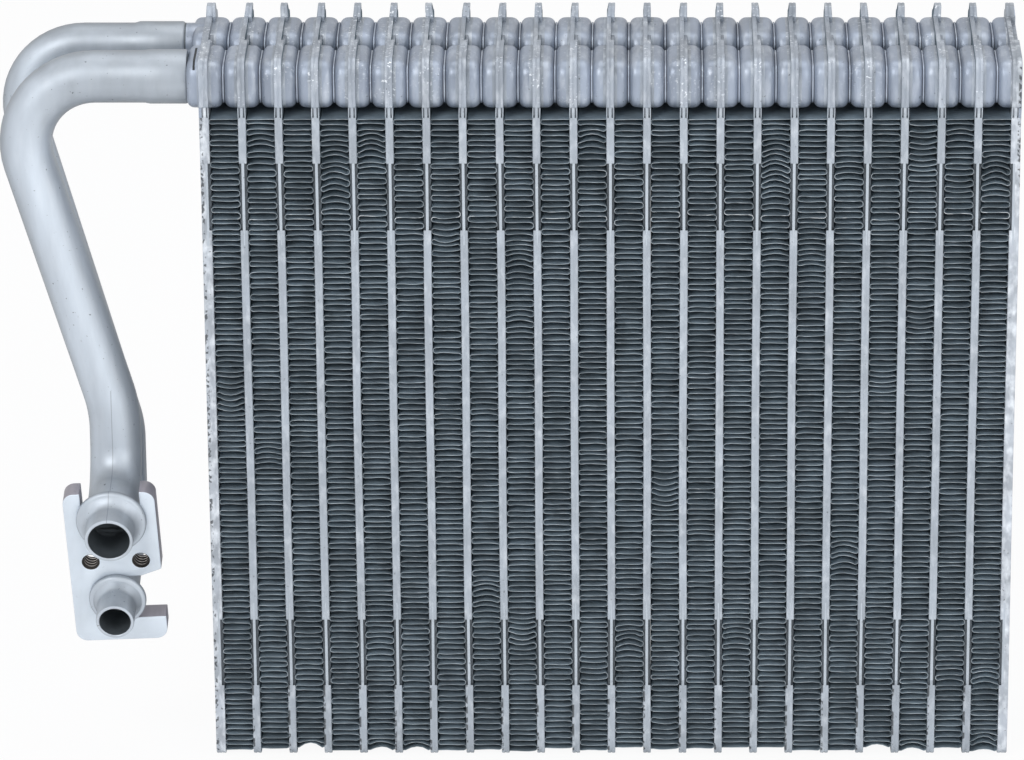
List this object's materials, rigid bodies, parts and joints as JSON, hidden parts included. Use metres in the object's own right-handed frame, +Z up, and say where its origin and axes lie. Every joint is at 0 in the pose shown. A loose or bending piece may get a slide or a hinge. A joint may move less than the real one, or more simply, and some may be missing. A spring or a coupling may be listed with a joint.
{
  "type": "evaporator core",
  "caption": "Laminated plate-and-fin air-conditioning evaporator: twin tanks of drawn cups on top, corrugated fins below, two bent pipes ending in a forked valve flange.",
  "frame": {"origin": "underside of the core, in the middle of its width and depth", "axes": "+X along the tanks away from the pipes, -Y out of the face that the spigots point to, +Z up towards the tanks"},
  "size_m": [0.3163, 0.0778, 0.2377],
  "materials": {
    "plate": "brazed, satin",
    "fin": "dark hydrophilic coating, satin",
    "pipe": "drawn, satin",
    "flange": "machined, satin"
  },
  "bodies": {
    "root": {"end_plate_left": "plate", "end_plate_right": "plate", "tube_01": "plate", "tube_02": "plate", "tube_03": "plate", "tube_04": "plate", "tube_05": "plate", "tube_06": "plate", "tube_07": "plate", "tube_08": "plate", "tube_09": "plate", "tube_10": "plate", "tube_11": "plate", "tube_12": "plate", "tube_13": "plate", "tube_14": "plate", "tube_15": "plate", "tube_16": "plate", "tube_17": "plate", "tube_18": "plate", "tube_19": "plate", "tube_20": "plate", "tube_21": "plate", "fin_01": "fin", "fin_02": "fin", "fin_03": "fin", "fin_04": "fin", "fin_05": "fin", "fin_06": "fin", "fin_07": "fin", "fin_08": "fin", "fin_09": "fin", "fin_10": "fin", "fin_11": "fin", "fin_12": "fin", "fin_13": "fin", "fin_14": "fin", "fin_15": "fin", "fin_16": "fin", "fin_17": "fin", "fin_18": "fin", "fin_19": "fin", "fin_20": "fin", "fin_21": "fin", "fin_22": "fin", "suction_pipe": "pipe", "liquid_pipe": "pipe", "valve_flange": "flange"}
  },
  "joints": []
}
